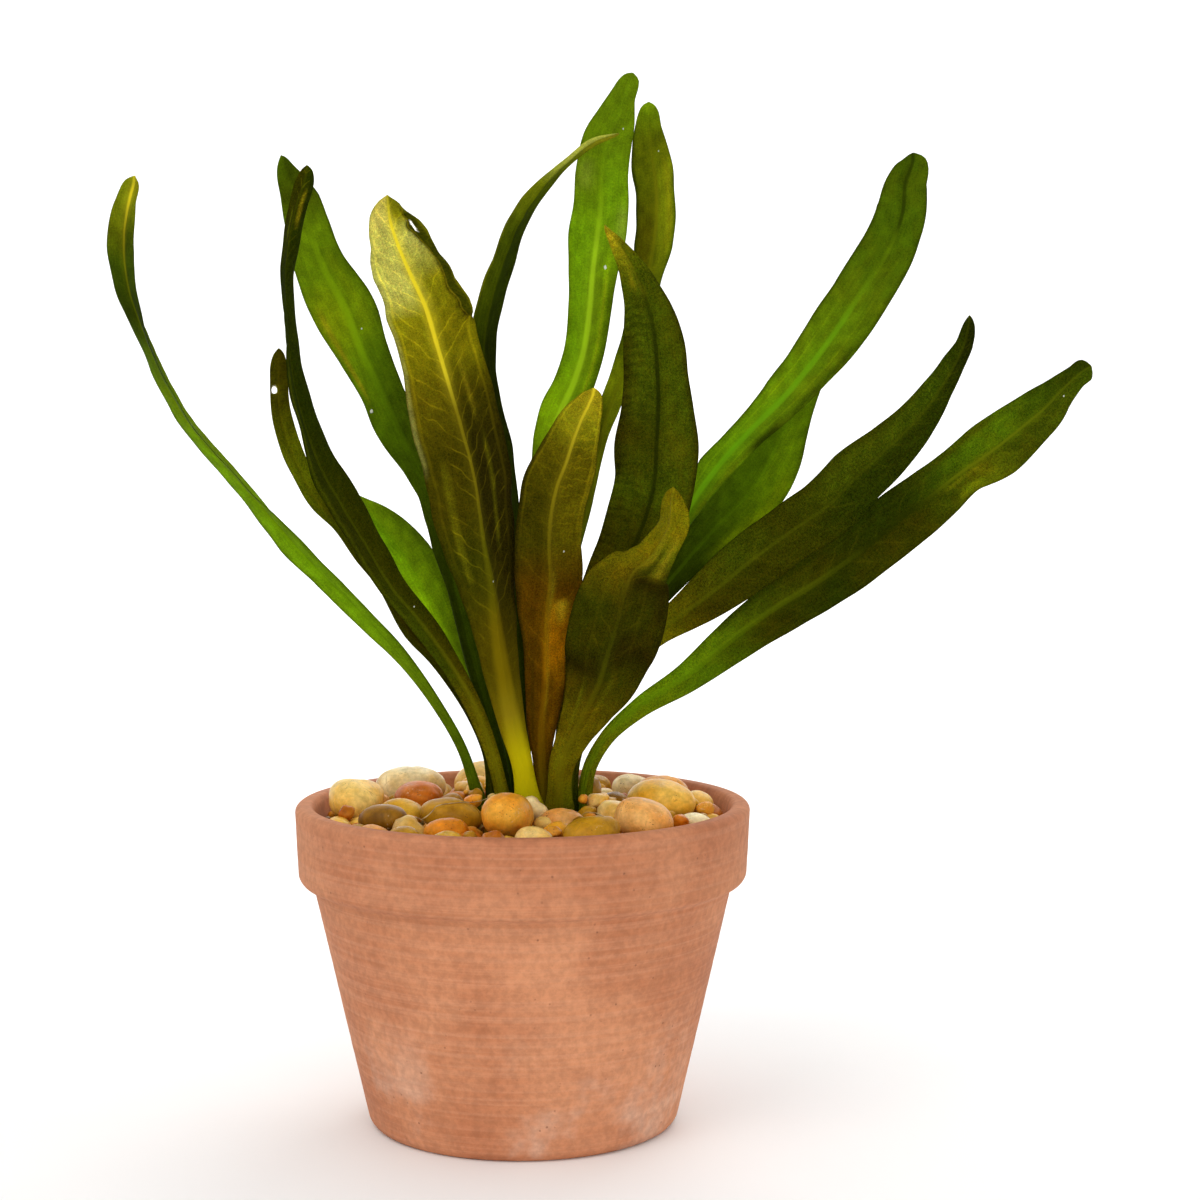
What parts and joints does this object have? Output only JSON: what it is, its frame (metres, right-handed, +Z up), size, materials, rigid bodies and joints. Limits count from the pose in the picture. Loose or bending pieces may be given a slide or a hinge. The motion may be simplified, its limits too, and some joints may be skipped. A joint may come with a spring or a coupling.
{
  "type": "potted echinodorus",
  "caption": "Sword plant with long strap-shaped leaves rising from one crown among rounded river pebbles, in a plain terracotta half-pot.",
  "frame": {"origin": "centre of the pot's flat underside, on the floor", "axes": "+Z up along the pot's axis, +X to the right as the plant is seen from its front, +Y to the back"},
  "size_m": [0.2613, 0.124, 0.2913],
  "materials": {
    "terracotta": "plain unglazed terracotta, faintly mottled",
    "gravel": "damp dark fine gravel",
    "rootstock": "fibrous olive-brown rootstock",
    "leaf": "soft satin green leaf, slightly translucent, lighter midrib",
    "leaf_golden": "satin golden olive leaf underside, slightly translucent, raised yellow midrib",
    "leaf_dark": "satin dark olive-green leaf, slightly translucent",
    "leaf_brown": "satin olive-brown leaf, slightly translucent, yellow midrib",
    "pebble": "smooth damp river pebble, cream to rust, mottled"
  },
  "bodies": {
    "root": {"pot": "terracotta", "gravel_bed": "gravel", "crown": "rootstock", "leaf_01": "leaf", "leaf_02": "leaf", "leaf_03": "leaf_golden", "leaf_04": "leaf_dark", "leaf_05": "leaf_brown", "leaf_06": "leaf", "leaf_07": "leaf_dark", "leaf_08": "leaf", "leaf_09": "leaf_brown", "leaf_10": "leaf", "leaf_11": "leaf_dark", "leaf_12": "leaf_brown", "leaf_13": "leaf", "leaf_14": "leaf", "leaf_15": "leaf_dark", "leaf_16": "leaf", "pebble_01": "pebble", "pebble_02": "pebble", "pebble_03": "pebble", "pebble_04": "pebble", "pebble_05": "pebble", "pebble_06": "pebble", "pebble_07": "pebble", "pebble_08": "pebble", "pebble_09": "pebble", "pebble_10": "pebble", "pebble_11": "pebble", "pebble_12": "pebble", "pebble_13": "pebble", "pebble_14": "pebble", "pebble_15": "pebble", "pebble_16": "pebble", "pebble_17": "pebble", "pebble_18": "pebble", "pebble_19": "pebble", "pebble_20": "pebble", "pebble_21": "pebble", "pebble_22": "pebble", "pebble_23": "pebble", "pebble_24": "pebble", "pebble_25": "pebble", "pebble_26": "pebble", "pebble_27": "pebble", "pebble_28": "pebble", "pebble_29": "pebble", "pebble_30": "pebble", "pebble_31": "pebble", "pebble_32": "pebble", "pebble_33": "pebble", "pebble_34": "pebble", "pebble_35": "pebble", "pebble_36": "pebble", "pebble_37": "pebble", "pebble_38": "pebble", "pebble_39": "pebble", "pebble_40": "pebble"}
  },
  "joints": []
}
